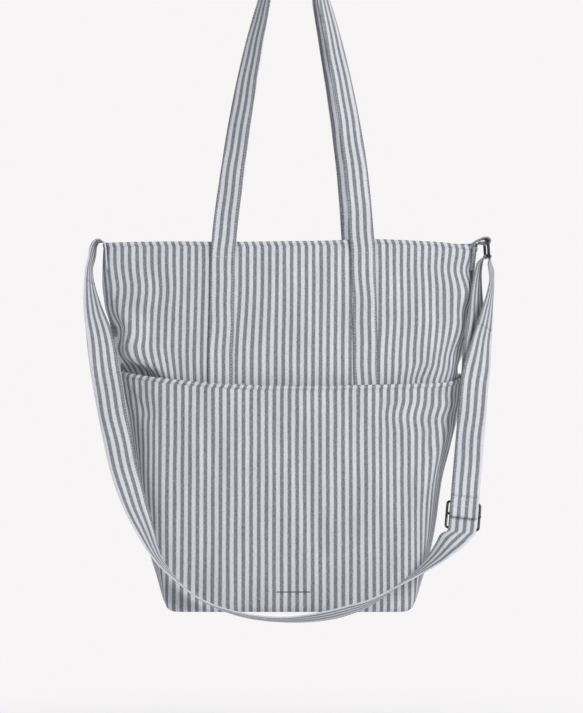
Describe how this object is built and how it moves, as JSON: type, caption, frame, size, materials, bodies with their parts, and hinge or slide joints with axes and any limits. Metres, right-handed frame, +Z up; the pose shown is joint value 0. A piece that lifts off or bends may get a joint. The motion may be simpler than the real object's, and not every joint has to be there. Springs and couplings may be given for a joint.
{
  "type": "tote bag",
  "caption": "Striped canvas tote bag with boxed base, open front pocket, paired shoulder handles and an adjustable crossbody strap on a side ring, hanging from its handles",
  "frame": {"origin": "the point where the bag hangs: the underside of both handles at the top of their loops", "axes": "+Z up, -Y out of the front panel with the pocket, +X towards the side with the ring and slider"},
  "size_m": [0.4245, 0.1751, 0.6944],
  "materials": {
    "striped_canvas": "yarn-dyed woven cotton canvas, pale lavender-white with heathered blue-grey stripes",
    "seam_binding": "plain pale cotton tape",
    "dark_thread": "dark embroidery thread",
    "black_hardware": "glossy black-nickel wire"
  },
  "bodies": {
    "bag": {"front_panel": "striped_canvas", "back_panel": "striped_canvas", "front_pocket": "striped_canvas", "pocket_hem": "striped_canvas", "front_mouth_hem": "striped_canvas", "back_mouth_hem": "striped_canvas", "left_side_seam": "seam_binding", "right_side_seam": "seam_binding", "base_seam": "seam_binding", "front_left_handle_end": "striped_canvas", "front_right_handle_end": "striped_canvas", "back_left_handle_end": "striped_canvas", "back_right_handle_end": "striped_canvas", "stitched_mark": "dark_thread", "strap_anchor": "striped_canvas", "ring_tab": "striped_canvas"},
    "front_handle": {"front_handle_loop": "striped_canvas"},
    "back_handle": {"back_handle_loop": "striped_canvas"},
    "strap": {"crossbody_strap": "striped_canvas", "ring_tab_loop": "striped_canvas"},
    "ring_drop": {"side_ring": "black_hardware", "strap_ring_loop": "striped_canvas", "strap_running_ply": "striped_canvas", "strap_return_ply": "striped_canvas"},
    "slider": {"slider_frame": "black_hardware", "slider_bar": "black_hardware", "strap_end_wrap": "striped_canvas"}
  },
  "joints": [
    {"name": "front_handle_fold", "type": "hinge", "parent": "bag", "child": "front_handle", "pos_m": [0, -0.03115, -0.31], "axis": [1, 0, 0], "range_deg": [0, 160]},
    {"name": "back_handle_fold", "type": "hinge", "parent": "bag", "child": "back_handle", "pos_m": [0, 0.03115, -0.31], "axis": [-1, 0, 0], "range_deg": [0, 160]},
    {"name": "strap_swing", "type": "hinge", "parent": "bag", "child": "strap", "pos_m": [0, 0, -0.3075], "axis": [-1, 0, 0], "range_deg": [0, 180]},
    {"name": "ring_swing", "type": "hinge", "parent": "strap", "child": "ring_drop", "pos_m": [0.2025, 0, -0.3075], "axis": [0, -1, 0], "range_deg": [0, 15]},
    {"name": "slider_slide", "type": "slide", "parent": "ring_drop", "child": "slider", "axis": [0.1056, 0.2358, 0.9661], "range_m": [0, 0.13], "deforming": ["strap_return_ply"]}
  ]
}
